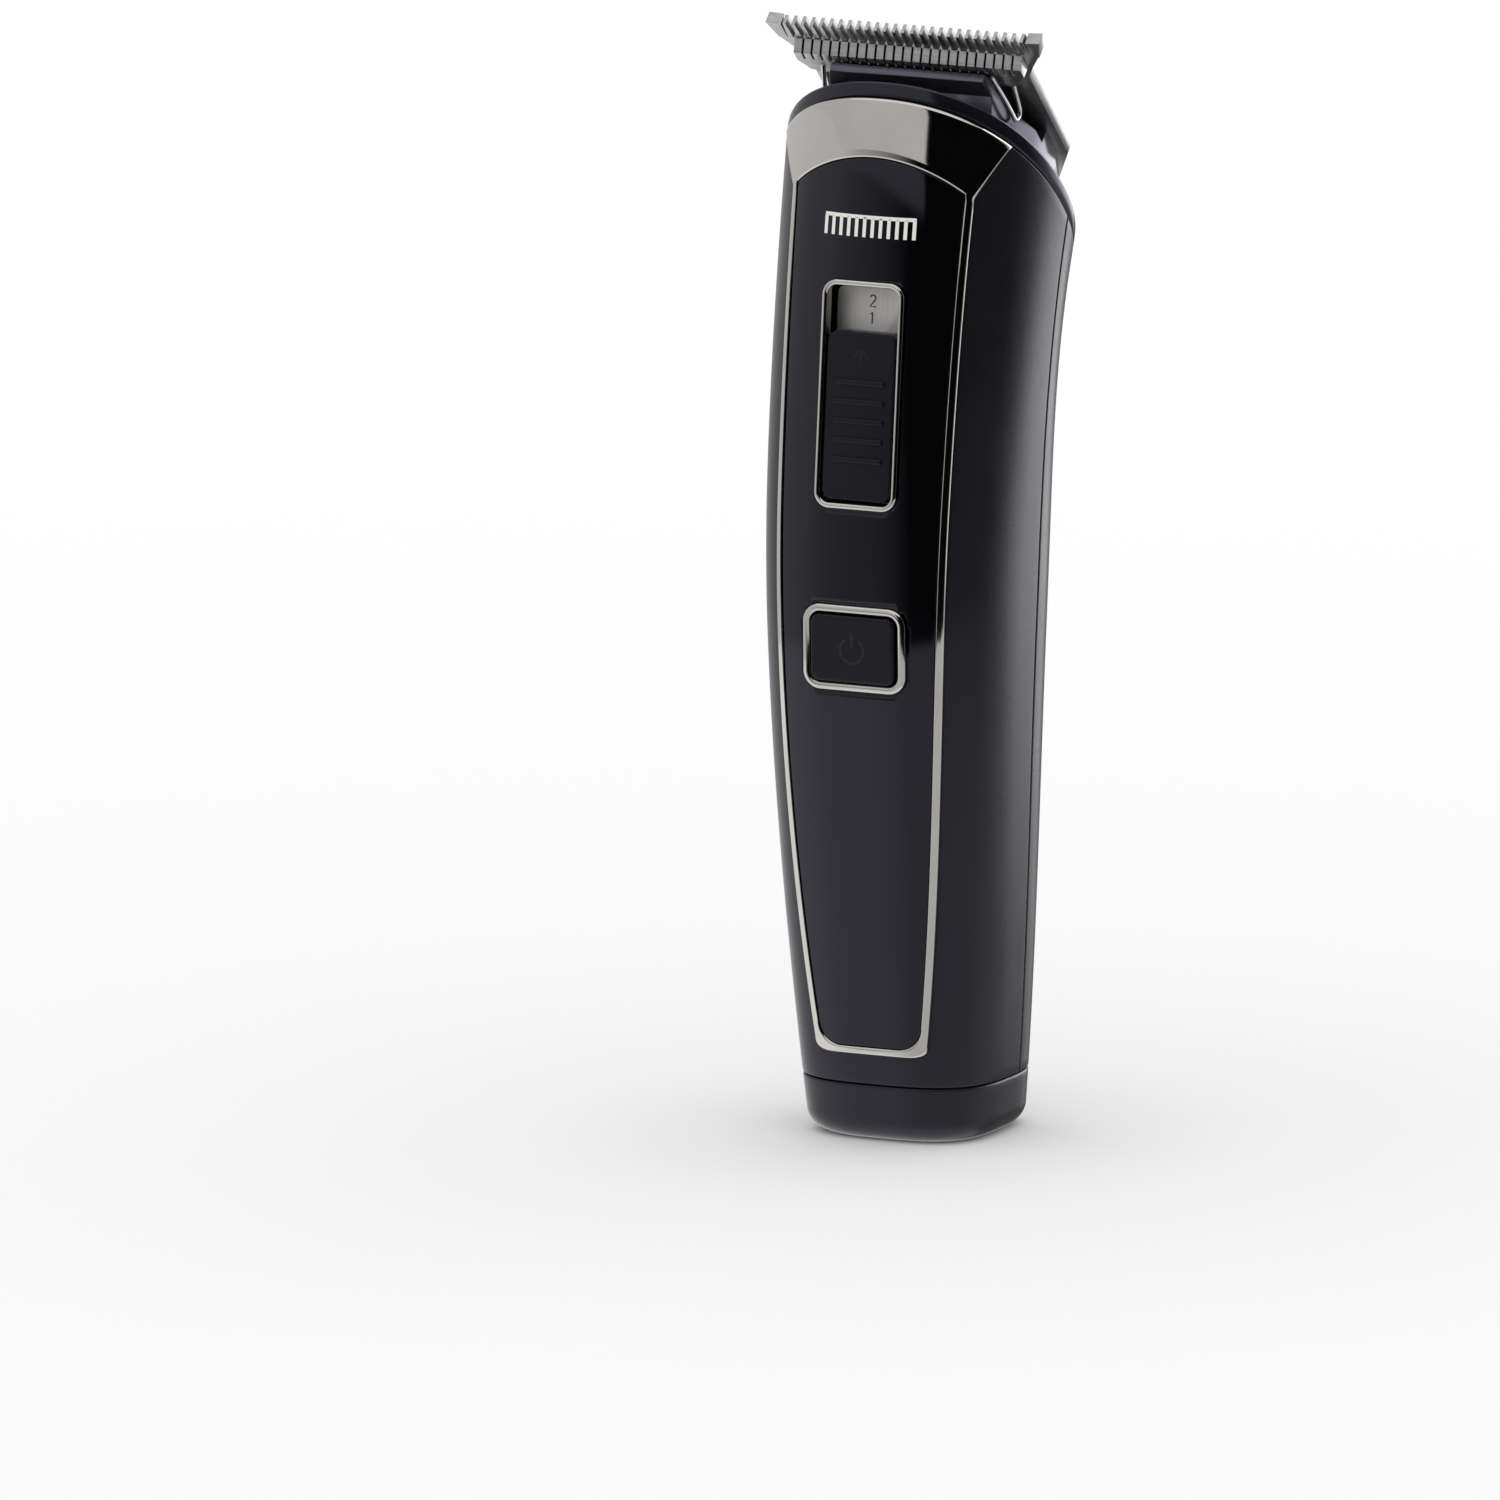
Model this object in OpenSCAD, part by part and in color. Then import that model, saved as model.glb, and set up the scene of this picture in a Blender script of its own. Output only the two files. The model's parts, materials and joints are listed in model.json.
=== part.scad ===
// Cordless beard trimmer: an upright handset with a T-shaped blade, a length slider and a
// power button. +Z runs up the handset, -Y is the front, the base centre is the origin (mm).

/* [Body] */
// wall thickness of the two shells
wall = 1.8; // [1.6:0.1:2]
// height of the base cap
cap_h = 8; // [7:0.5:9]
// gap left between shell parts that meet edge to edge
part_gap = 0.12; // [0.1:0.01:0.15]

/* [Front panel] */
// how far the bright frame stands proud of the shell
frame_rise = 0.95; // [0.85:0.05:1]
// how far the dark panel stands proud of the shell
panel_rise = 0.75; // [0.7:0.05:0.8]
// width of the bright strip down each side of the panel
strip_w = 1; // [0.9:0.1:1.2]

/* [Slider] */
// travel of the length slider
slider_travel = 6; // [4:0.5:6]
// width of the slider's window
window_w = 10.7; // [10.5:0.1:11]

/* [Power button] */
// how far the button can be pressed
press_travel = 0.8; // [0.5:0.1:0.9]
// width of the button cap
button_w = 12.4; // [12:0.1:12.6]

/* [Blades] */
// tooth pitch of both blades
pitch = 1.37; // [1.34:0.01:1.38]
// number of teeth on the fixed blade
teeth = 27; // [25:2:27]
// offset of the drive pin from the motor's axis
throw = 1.2; // [0.8:0.1:1.2]

/* [Hidden] */
$fn = 48;

// Body skin: half-widths, half-depths and spine offsets as four control values up the height.
spine_h = 131.5;
skin_w = [13.6, 17.9, 18.2, 20.1];
skin_d = [13.2, 15.3, 17.8, 15.5];
skin_y = [1.0, -1.5, -7.0, 5.5];
square_low = 3;
square_top = 2.2;
round_from = 70;
edge_r = 3;
collar_h = 2.5;
shell_top = spine_h - collar_h;
lean_from = 90;
seam_angle = 5.8;
gap_angle = 0.15;
shell_low = cap_h + part_gap;

function bez(c, t) =
    c[0] * pow(1 - t, 3) + 3 * c[1] * t * pow(1 - t, 2) + 3 * c[2] * pow(t, 2) * (1 - t) + c[3] * pow(t, 3);
function half_w(h) = bez(skin_w, h / spine_h);
function half_d(h) = bez(skin_d, h / spine_h);
function mid_y(h) = bez(skin_y, h / spine_h);
function lean_part(h) = min(1, max(0, (h - lean_from) / (shell_top - lean_from)));
function lean(h) = let(t = lean_part(h)) t * t * (2 - t);
function lean_rate(h) = let(t = lean_part(h)) t * (4 - 3 * t) / (shell_top - lean_from);
function edge_in(h) = h < edge_r ? edge_r - sqrt(pow(edge_r, 2) - pow(edge_r - h, 2)) : 0;
function squareness(h) = let(t = min(1, max(0, (h - round_from) / (shell_top - round_from))))
    square_low + (square_top - square_low) * t * t * (3 - 2 * t);
function rounded(v, h) = sign(v) * pow(abs(v), 2 / squareness(h));

// One point of the skin: h up the spine, a degrees round it, g inside it.
function skin(h, a, g) =
    let(k = g + edge_in(h), y = (half_d(h) - k) * rounded(sin(a), h))
    [(half_w(h) - k) * rounded(cos(a), h), mid_y(h) + y, h - lean(h) * y];

// The front of the skin seen square on: bulge, spine height and depth at x, z.
function bulge(x, h) = let(k = squareness(h)) pow(1 - pow(min(1, abs(x) / half_w(h)), k), 1 / k);
function skin_h(x, z, h, n = 8) =
    n == 0 ? h
    : let(r = half_d(h) * bulge(x, h))
      skin_h(x, z, min(shell_top, h - (h + lean(h) * r - z) / (1 + lean_rate(h) * r)), n - 1);
function front_y(x, z) = let(h = skin_h(x, z, min(z, shell_top))) mid_y(h) - half_d(h) * bulge(x, h);
function crown_z(x) = shell_top + half_d(shell_top) * bulge(x, shell_top);

// Closed solid between two grids of points: rows by columns, outer then inner.
module grid_solid(outer, inner, ring = false) {
    rows = len(outer);
    cols = len(outer[0]);
    n = rows * cols;
    last = ring ? cols - 1 : cols - 2;
    function id(r, c) = r * cols + c % cols;
    polyhedron(
        points = concat([for (r = outer) for (p = r) p], [for (r = inner) for (p = r) p]),
        faces = concat(
            [for (r = [0:rows - 2]) for (c = [0:last])
                each let(a = id(r, c), b = id(r, c + 1), d = id(r + 1, c), e = id(r + 1, c + 1))
                [[a, d, e], [a, e, b], [n + a, n + e, n + d], [n + a, n + b, n + e]]],
            [for (c = [0:last])
                each let(a = id(0, c), b = id(0, c + 1)) [[a, b, n + b], [a, n + b, n + a]]],
            [for (c = [0:last])
                each let(a = id(rows - 1, c), b = id(rows - 1, c + 1)) [[a, n + b, b], [a, n + a, n + b]]],
            ring ? [] : [for (r = [0:rows - 2])
                each let(a = id(r, 0), d = id(r + 1, 0)) [[a, n + d, d], [a, n + a, n + d]]],
            ring ? [] : [for (r = [0:rows - 2])
                each let(a = id(r, cols - 1), d = id(r + 1, cols - 1))
                [[a, d, n + d], [a, n + d, n + a]]]));
}

// Solid slice of the body between two spine heights, g inside the skin.
module skin_slice(low, high, g, rows = 2, cols = 40) {
    ring_at = function(h) [for (c = [0:cols - 1]) skin(h, c * 360 / cols, g)];
    hs = [for (r = [0:rows - 1]) low + (high - low) * r / (rows - 1)];
    n = rows * cols;
    polyhedron(
        points = [for (h = hs) each ring_at(h)],
        faces = concat(
            [[for (c = [0:cols - 1]) c]],
            [[for (c = [0:cols - 1]) n - 1 - c]],
            [for (r = [0:rows - 2]) for (c = [0:cols - 1])
                each let(a = r * cols + c, b = r * cols + (c + 1) % cols)
                [[a, a + cols, b], [b, a + cols, b + cols]]]));
}

// Part of the shell between two angles.
module shell_part(from, to, cols) {
    rows = 25;
    h_at = function(r) shell_low + (shell_top - shell_low) * r / (rows - 1);
    wall_at = function(g) [for (r = [0:rows - 1])
        [for (c = [0:cols - 1]) skin(h_at(r), from + (to - from) * c / (cols - 1), g)]];
    grid_solid(wall_at(0), wall_at(wall));
}

module rounded_rect(w, h, r) {
    for (x = [-1, 1]) for (y = [-1, 1])
        translate([x * (w / 2 - r), y * (h / 2 - r)]) circle(r);
    square([w - 2 * r, h], center = true);
    square([w, h - 2 * r], center = true);
}

module rod(a, b, r) {
    d = b - a;
    translate(a) rotate([0, acos(d[2] / norm(d)), atan2(d[1], d[0])]) cylinder(h = norm(d), r = r);
}

// Outline of the front frame and panel.
frame_low = 12.5;
frame_side_top = 131.5;
frame_w = [8.2, 13.5, 12.6, 13.6];
frame_end_w = 6.6;
frame_end_rise = 1.6;
crown_x = 16.9;
bottom_strip = 1.1;
panel_low = frame_low + bottom_strip;
panel_r = 3.5;
arch_top = 136.7;
arch_r = 19.6;
arch_from = 124;
seat_gap = 0.1;
panel_fit = 0.06;

function outer_x(z) = bez(frame_w, (z - frame_low) / (frame_side_top - frame_low));
function inner_x(z) = outer_x(z) - strip_w;
function arch_z(x) = arch_top - arch_r + sqrt(pow(arch_r, 2) - pow(x, 2));
inner_top_x = inner_x(frame_side_top);
inner_top_z = arch_z(inner_top_x);
function proud(x, z, rise) = [x, front_y(x, z) - rise, z];

// Matched points of the frame's inner and outer edges, from the bottom middle up one side.
corner_x = inner_x(panel_low + panel_r) - panel_r;
function corner_in(a) = [corner_x + panel_r * sin(a), panel_low + panel_r * (1 - cos(a))];
frame_pairs = concat(
    [[[0, panel_low], [0, frame_low]], [[corner_x * 0.6, panel_low], [frame_end_w * 0.6, frame_low]]],
    [[corner_in(0), [frame_end_w * 0.85, frame_low]], [corner_in(25), [frame_end_w, frame_low]]],
    [[corner_in(50), [outer_x(frame_low + frame_end_rise) - 0.3, frame_low + 0.9]]],
    [[corner_in(75), [outer_x(frame_low + frame_end_rise), frame_low + frame_end_rise]]],
    [for (i = [0:20]) let(z = panel_low + panel_r + (frame_side_top - panel_low - panel_r) * i / 20)
        [[inner_x(z), z], [outer_x(z), z]]],
    [for (i = [1:3]) [[inner_top_x, frame_side_top + (inner_top_z - frame_side_top) * i / 3],
        [outer_x(frame_side_top) + (crown_x - outer_x(frame_side_top)) * i / 3,
         frame_side_top + (crown_z(crown_x) - frame_side_top) * i / 3]]],
    [for (i = [1:8]) let(u = 1 - i / 8) [[inner_top_x * u, arch_z(inner_top_x * u)],
        [crown_x * u, crown_z(crown_x * u)]]]);

module front_shell() {
    color("black") difference() {
        shell_part(seam_angle - 180 - 2 * seam_angle + gap_angle, seam_angle - gap_angle, 29);
        slider_frame() cut_through(ring_w + 2 * seat_gap, ring_l + 2 * seat_gap, ring_r, 4);
        button_frame() cut_through(bezel_w + 2 * seat_gap, bezel_l + 2 * seat_gap, bezel_r, 4);
    }
}

module rear_shell() {
    color("black") shell_part(seam_angle + gap_angle, 180 - seam_angle - gap_angle, 23);
}

module frame_band(back, front, steps) {
    pairs = concat(frame_pairs, [for (i = [len(frame_pairs) - 2:-1:1])
        [for (p = frame_pairs[i]) [-p[0], p[1]]]]);
    at = function(rise) [for (j = [0:steps]) [for (p = pairs)
        let(q = p[0] + (p[1] - p[0]) * j / steps) proud(q[0], q[1], rise)]];
    grid_solid(at(front), at(back), true);
}

module chrome_bezel() {
    color("silver") frame_band(seat_gap, frame_rise, 4);
}

module front_panel() {
    rows = 30;
    cols = 15;
    edge = inner_top_z;
    z_at = function(r) r < 5 ? panel_low + panel_r * (1 - cos(90 * (r + 0.6) / 5.6))
        : panel_low + panel_r + (edge - panel_low - panel_r) * (r - 5) / (rows - 6);
    w_at = function(z) (z < panel_low + panel_r
        ? corner_x + sqrt(pow(panel_r, 2) - pow(panel_low + panel_r - z, 2))
        : inner_x(min(z, frame_side_top))) - panel_fit;
    at = function(rise) [for (r = [0:rows - 1]) [for (c = [0:cols - 1])
        let(z = z_at(r), x = w_at(z) * (2 * c / (cols - 1) - 1),
            t = max(0, (z - arch_from) / (edge - arch_from)))
        proud(x, z + (arch_z(x) - edge) * t - panel_fit, rise)]];
    color("black") difference() {
        grid_solid(at(panel_rise), at(seat_gap));
        slider_frame() cut_through(ring_w + 2 * panel_fit, ring_l + 2 * panel_fit, ring_r, 4);
        button_frame() cut_through(bezel_w + 2 * panel_fit, bezel_l + 2 * panel_fit, bezel_r, 4);
    }
}

module collar_ring() {
    cols = 56;
    lip = 3;
    at = function(g) [for (h = [shell_top + part_gap, spine_h])
        [for (c = [0:cols - 1]) skin(h, c * 360 / cols, g)]];
    color("black") grid_solid(at(0), at(lip), true);
}

// Charging end.
contact_x = 6.5;
contact_y = -3;
contact_r = 1.5;
jack_y = 4;
jack_r = 3.2;
jack_bore_r = 1.75;
jack_depth = 9;
cap_floor = 3;
screw_x = 9;

module base_cap() {
    color("black") difference() {
        skin_slice(0, cap_h, 0, 9);
        translate([0, mid_y(cap_h), cap_floor]) linear_extrude(cap_h) rounded_rect(22.4, 20, 5);
        translate([0, jack_y, -1]) cylinder(h = cap_h, r = jack_r + 0.05);
        for (s = [-1, 1])
            translate([s * contact_x, contact_y, -1]) cylinder(h = cap_h, r = contact_r + 0.05);
        for (s = [-1, 1]) translate([s * screw_x, jack_y, -1]) cylinder(h = cap_h, r = 0.85);
        for (s = [-1, 1]) translate([s * screw_x, jack_y, -1]) cylinder(h = 2, r = 1.6);
    }
}

module charge_contacts() {
    color("silver") for (s = [-1, 1]) translate([s * contact_x, contact_y, 0.3]) {
        cylinder(h = 4, r = contact_r);
        translate([0, 0, 4]) cylinder(h = 0.6, r = 2.1);
    }
}

module charge_jack() {
    color("dimgray") translate([0, jack_y, 0.2]) difference() {
        union() {
            cylinder(h = jack_depth + 1.5, r = jack_r);
            translate([-4, -4, cap_floor]) cube([8, 8, jack_depth - 1]);
        }
        translate([0, 0, -1]) cylinder(h = jack_depth + 1, r = jack_bore_r);
    }
}

module base_screws() {
    color("silver") for (s = [-1, 1]) translate([s * screw_x, jack_y, 0.2]) {
        difference() {
            cylinder(h = 0.75, r = 1.5);
            for (turn = [0, 90]) rotate(turn) translate([-0.9, -0.2, -0.1]) cube([1.8, 0.4, 0.5]);
        }
        cylinder(h = 9, r = 0.8);
    }
}

// Length slider: local frame on the panel, local Z up the slide, local -Y outwards.
slider_z = 104.5;
ring_w = window_w + 1.6;
ring_l = 31.3;
ring_r = 2.2;
window_l = 29.7;
window_r = 1.4;
slide_tilt = atan((front_y(0, slider_z + ring_l / 2) - front_y(0, slider_z - ring_l / 2)) / ring_l);
slider_y = front_y(0, slider_z);
slider_w = window_w - 0.4;
slider_l = 23.1;
slider_low = -14.45;
slider_face = 0.85;
plate_in = 2.3;
slider_back = plate_in - 0.15;
stem_low = -8;

module slider_frame() translate([0, slider_y, slider_z]) rotate([-slide_tilt, 0, 0]) children();
module cut_through(w, l, r, deep) translate([0, deep, 0]) rotate([90, 0, 0])
    linear_extrude(3 * deep) rounded_rect(w, l, r);

module slider_ring() {
    color("silver") slider_frame() translate([0, 3.2, 0]) rotate([90, 0, 0]) difference() {
        linear_extrude(3.2 + 1.15) rounded_rect(ring_w, ring_l, ring_r);
        translate([0, 0, -1]) linear_extrude(8) rounded_rect(window_w, window_l, window_r);
    }
}

module setting_plate() {
    slot_l = slider_travel + 4.6;
    color("silver") slider_frame() translate([0, plate_in + 0.6, 0]) rotate([90, 0, 0]) difference() {
        linear_extrude(0.6) rounded_rect(window_w - 0.1, window_l - 0.1, window_r);
        translate([-1.6, stem_low - 0.3, -1]) cube([3.2, slot_l, 3]);
    }
}

module length_slider() {
    ribs = 5;
    rib_step = 2.65;
    rib_margin = 1.4;
    first_rib = 5.2;
    mark_down = 3;
    color("black") slider_frame() difference() {
        union() {
            translate([0, slider_back, slider_low + slider_l / 2]) rotate([90, 0, 0])
                linear_extrude(slider_back + slider_face) rounded_rect(slider_w, slider_l, window_r + 0.1);
            for (i = [0:ribs - 1])
                translate([rib_margin - slider_w / 2, -slider_face - 0.35, slider_low + first_rib + i * rib_step])
                cube([slider_w - 2 * rib_margin, 0.5, 0.8]);
            translate([-1.3, plate_in - 0.5, stem_low]) cube([2.6, 3.1, 4]);
        }
        translate([0, -slider_face - 1, slider_low + slider_l - mark_down])
            rotate([-90, 0, 0]) cylinder(h = 1.25, r = 1.1);
    }
}

module push_rod() {
    color("gray") slider_frame() difference() {
        translate([-4, plate_in + 2.65, stem_low - 2]) cube([8, 1.2, 23]);
        translate([-1.5, plate_in + 2, 4]) cube([3, 3, 8]);
    }
}

module detent_spring() {
    color("silver") slider_frame() {
        translate([-5.2, 3.25, -13.5]) cube([10.4, 0.3, 3]);
        for (s = [-1, 1]) translate([s * 4.8 - 0.4, 3.25, -13.5]) cube([0.8, 0.3, 16]);
    }
}

// Power button.
button_z = 69.8;
button_l = 9.2;
bezel_w = 15.4;
bezel_l = 12;
bezel_r = 2.6;
button_r = 1.2;
button_y = front_y(0, button_z);
button_tilt = atan((front_y(0, button_z + bezel_l / 2) - front_y(0, button_z - bezel_l / 2)) / bezel_l);
button_face = 1.6;

module button_frame() translate([0, button_y, button_z]) rotate([-button_tilt, 0, 0]) children();

module button_ring() {
    color("silver") button_frame() translate([0, 2, 0]) rotate([90, 0, 0]) difference() {
        linear_extrude(2 + 1.15) rounded_rect(bezel_w, bezel_l, bezel_r);
        translate([0, 0, -1]) linear_extrude(6)
            rounded_rect(button_w + 0.4, button_l + 0.4, button_r + 0.2);
    }
}

module power_button() {
    color("black") button_frame() translate([0, 2.2, 0]) rotate([90, 0, 0]) {
        linear_extrude(2.2 + button_face) rounded_rect(button_w, button_l, button_r);
        translate([0, 0, -1.2]) cylinder(h = 1.4, r = 2.6);
    }
}

board_y = -9;
board_low = 20;
board_l = 61;

module button_pad() {
    pad_y = button_y + 2.2 + 1.2 + press_travel + 0.15;
    color("gray") difference() {
        translate([-8, pad_y, button_z - 6]) cube([16, 1, 12]);
        translate([0, pad_y - 1, button_z]) rotate([-90, 0, 0]) cylinder(h = 4, r = 1.4);
    }
}

module tact_switch() {
    color("dimgray") {
        translate([-3, board_y - 0.9 - 2.4, button_z - 3]) cube([6, 2.4, 6]);
        translate([0, board_y - 3.29, button_z]) rotate([90, 0, 0]) cylinder(h = 0.9, r = 1.2);
    }
}

module circuit_board() {
    color("green") {
        translate([-10.5, board_y - 0.8, board_low]) cube([21, 1.6, board_l]);
        translate([-7, board_y - 0.8 - 1.6, 30]) cube([6, 1.7, 6]);
        translate([2, board_y - 0.8 - 1.9, 44]) cube([5, 2, 4]);
    }
}

// Battery and motor.
cell_y = 2.6;
cell_r = 7.1;
cell_low = 24;
cell_l = 50;
motor_y = 2;
motor_r = 10.5;
motor_low = 84;
motor_l = 28;
shaft_r = 1;
cam_low = 114.6;
pin_top = 137.8;
pin_r = 0.6;

module battery_cell() {
    color("blue") translate([0, cell_y, cell_low]) {
        cylinder(h = cell_l - 1, r = cell_r);
        translate([0, 0, cell_l - 1]) cylinder(h = 1, r = 2.6);
    }
}

module battery_tab_top() {
    color("silver") translate([-2.5, -8.1, cell_low + cell_l + 0.05]) {
        cube([5, cell_y + 11, 0.4]);
        translate([0, 0, -6]) cube([5, 0.4, 6]);
    }
}

module battery_tab_base() {
    color("silver") translate([-2.5, -8.1, cell_low - 0.45]) {
        cube([5, cell_y + 11, 0.4]);
        translate([0, 0, 0.4]) cube([5, 0.4, 6]);
    }
}

module motor_can() {
    color("silver") translate([0, motor_y, motor_low]) difference() {
        union() {
            cylinder(h = motor_l, r = motor_r);
            translate([0, 0, motor_l]) cylinder(h = 1.4, r = 3.2);
        }
        translate([0, 0, -1]) cylinder(h = motor_l - 0.2, r = motor_r - 0.9);
        translate([0, 0, motor_l - 3]) cylinder(h = 6, r = shaft_r + 0.05);
    }
}

module motor_endcap() {
    color("dimgray") translate([0, motor_y, motor_low - 1.2]) difference() {
        union() {
            cylinder(h = 1.15, r = motor_r - 0.1);
            cylinder(h = 3.2, r = motor_r - 1);
            for (s = [-1, 1]) translate([s * 6 - 0.9, -0.25, -2.2]) cube([1.8, 0.5, 2.3]);
        }
        translate([0, 0, 1]) cylinder(h = 4, r = shaft_r + 0.05);
    }
}

module motor_shaft() {
    color("silver") translate([0, motor_y, motor_low]) {
        translate([0, 0, 0.2]) cylinder(h = cam_low - motor_low + 3, r = shaft_r);
        translate([0, 0, 5]) cylinder(h = 18, r = 8.4);
    }
}

module eccentric_cam() {
    color("white") translate([0, motor_y, cam_low]) difference() {
        union() {
            cylinder(h = 5, r = 3.4);
            translate([0, throw, 4.9]) cylinder(h = pin_top - cam_low - 4.9, r = pin_r);
        }
        translate([0, 0, -1]) cylinder(h = 4.25, r = shaft_r + 0.01);
    }
}

bracket_w = 12.9;
bracket_low = 86;
bracket_top = 110;
bracket_t = 4;
bracket_screw_x = 11.7;

module motor_bracket() {
    color("dimgray") difference() {
        union() {
            for (z = [bracket_low, bracket_top - bracket_t])
                translate([-bracket_w, motor_y - 11.6, z]) cube([2 * bracket_w, 18.6, bracket_t]);
            for (s = [-1, 1])
                translate([s * (bracket_w - 0.9) - 0.9, motor_y - 7, bracket_low])
                cube([1.8, 14, bracket_top - bracket_low]);
        }
        translate([0, motor_y, 80]) cylinder(h = 40, r = motor_r + 0.1);
        for (s = [-1, 1])
            translate([s * bracket_screw_x, motor_y - 3, bracket_top - 5]) cylinder(h = 6, r = 0.75);
    }
}

module bracket_screws() {
    color("silver") for (s = [-1, 1]) translate([s * bracket_screw_x, motor_y - 3, bracket_top + 0.05]) {
        cylinder(h = 0.9, r = 1.3);
        translate([0, 0, -4]) cylinder(h = 4.2, r = 0.7);
    }
}

chassis_low = 19;
chassis_l = 63;

module inner_chassis() {
    color("gray") difference() {
        union() {
            translate([-11, board_y + 0.9, chassis_low]) cube([22, 1.2, chassis_l]);
            for (z = [30, 64]) translate([-10.5, board_y + 0.9, z]) cube([21, cell_y - board_y + 2, 3]);
            for (s = [-1, 1]) translate([s * 10 - 1, board_y + 0.9, chassis_low]) cube([2, 9, chassis_l]);
        }
        translate([0, cell_y, 10]) cylinder(h = 80, r = cell_r + 0.1);
        for (z = [cell_low - 1.2, cell_low + cell_l - 6.2]) translate([-3, -8.3, z]) cube([6, 3, 8]);
    }
}

// Head: local frame on the slanted rim, X across, Y down the slope to the back, Z out of the rim.
rim_y = mid_y(spine_h);
pocket_n = 5.9;
plate_n = pocket_n + 2.1;
plate_t = 1.5;
window_back = 3;
clip_x = 11.5;
window_front = -10.2;

module rim_frame() translate([0, rim_y, spine_h]) rotate([-45, 0, 0]) children();
module rim_box(x, w, n) rim_frame() translate([-x, w[0], n[0]]) cube([2 * x, w[1] - w[0], n[1] - n[0]]);

module top_deck() {
    color("dimgray") difference() {
        skin_slice(126.6, 128.8, wall + 0.3);
        translate([-4.5, motor_y - 5, 100]) cube([9, 10, 50]);
        for (s = [-1, 1]) rim_frame() translate([s * clip_x - 2.6, 3.6, -8]) cube([5.2, 2.8, 8]);
    }
}

module head_base() {
    color("black") difference() {
        skin_slice(129.4, 131.1, 3.2);
        rim_box(7, [window_front, window_back], [-3, 3]);
    }
}

module head_clips() {
    color("dimgray") for (s = [-1, 1]) rim_frame() translate([s * clip_x - 2, 4.2, -5.2]) {
        cube([4, 1.2, 3.27]);
        translate([0, 1, 0]) cube([4, 0.6, 1]);
    }
}

// Side view of the head in its local frame: lower front, upper front, upper back, lower back.
head_side = [[-11, -0.25], [-13.9, 4.1], [-16.4, pocket_n - 1.3], [-16.6, plate_n], [10.6, plate_n],
    [11.8, 4.5], [11, -0.25]];
// Head in plan: neck, front corner, widest part, back corner.
head_plan = [[0, -17], [11.2, -17], [11.9, -15.6], [13.2, -7.6], [15, -4], [15, 4], [12.6, 12], [0, 12]];

module head_housing() {
    color("black") difference() {
        intersection() {
            rim_frame() rotate([90, 0, -90]) translate([0, 0, -20]) linear_extrude(40)
                polygon([for (p = head_side) [-p[0], p[1]]]);
            rim_frame() translate([0, 0, -0.25]) linear_extrude(plate_n + 0.25)
                for (s = [0, 1]) mirror([s, 0]) polygon(head_plan);
        }
        rim_box(20, [-24, -1.2], [pocket_n, 20]);
        rim_box(11.3, [-15.7, -1], [pocket_n - 1, 20]);
        rim_box(7, [window_front, window_back], [-3, 20]);
        for (s = [-1, 1]) rim_frame() translate([s * screw_x, 5, 4]) cylinder(h = 8, r = 0.85);
    }
}

tooth_root = -18.5;
tooth_tip = -21.7;
bar_back = -13.6;

module fixed_blade() {
    tip_w = 0.25;
    root_w = 0.42;
    stem_w = 16.5;
    color("silver") difference() {
        rim_frame() translate([0, 0, plate_n + 0.02]) {
            linear_extrude(plate_t) {
                polygon([[-stem_w, bar_back], [stem_w, bar_back], [stem_w, 4], [12.8, 10.8],
                    [-12.8, 10.8], [-stem_w, 4]]);
                for (i = [0:teeth - 1]) translate([(i - (teeth - 1) / 2) * pitch, 0])
                    polygon([[-root_w, tooth_root + 0.1], [-tip_w, tooth_tip],
                        [tip_w, tooth_tip], [root_w, tooth_root + 0.1]]);
            }
            linear_extrude(plate_t + 0.3) {
                for (s = [0, 1]) mirror([s, 0]) polygon([[0, bar_back], [stem_w, bar_back],
                    [17.7, bar_back - 2.2], [19.5, tooth_root], [0, tooth_root]]);
                for (s = [0, 1]) mirror([s, 0]) polygon([[18.3, tooth_root + 0.1], [18.35, tooth_tip + 0.2],
                    [20.6, tooth_tip], [19.6, tooth_root + 0.1]]);
            }
        }
        for (s = [-1, 1]) rim_frame() translate([s * screw_x, 5, 4]) cylinder(h = 8, r = 1.1);
    }
}

cutter_front = -18.7;
cutter_low = pocket_n + 0.25;
cutter_w = 17.1;
cutter_gap = 0.05;

module moving_blade() {
    gap_w = 0.26;
    slots = 24;
    bevel = 58;
    color("silver") difference() {
        rim_frame() translate([0, 0, cutter_low]) linear_extrude(plate_n - cutter_gap - cutter_low)
            difference() {
                for (s = [0, 1]) mirror([s, 0]) polygon([[0, cutter_front], [cutter_w, cutter_front],
                    [cutter_w, -16], [15.6, -14], [9.5, -13], [9.5, -2.4], [0, -2.4]]);
                for (i = [0:slots - 1])
                    translate([(i - (slots - 1) / 2) * pitch - gap_w / 2, cutter_front - 1])
                    square([gap_w, 3.4]);
            }
        rim_frame() translate([-20, cutter_front, plate_n - 0.15]) rotate([-bevel, 0, 0])
            translate([0, 0, -4]) cube([40, 8, 4]);
    }
}

leg_in = throw + pin_r + throw + 0.2;
yoke_front = -8.6;
yoke_l = 6;

module drive_yoke() {
    top_n = cutter_low - 0.03;
    color("white") rim_frame() {
        for (s = [-1, 1])
            translate([s * (leg_in + 0.9) - 0.9, yoke_front, -1.2]) cube([1.8, yoke_l, top_n + 1.2]);
        translate([-leg_in - 1.8, yoke_front, top_n - 1.6]) cube([2 * leg_in + 3.6, yoke_l, 1.6]);
    }
}

module blade_carrier() {
    color("dimgray") rim_frame() translate([0, 0, pocket_n - 0.9]) linear_extrude(1) difference() {
        polygon([[-11, -14], [11, -14], [11, -1.4], [-11, -1.4]]);
        translate([-7.4, -10.5]) square([14.8, 8.2]);
    }
}

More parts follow.
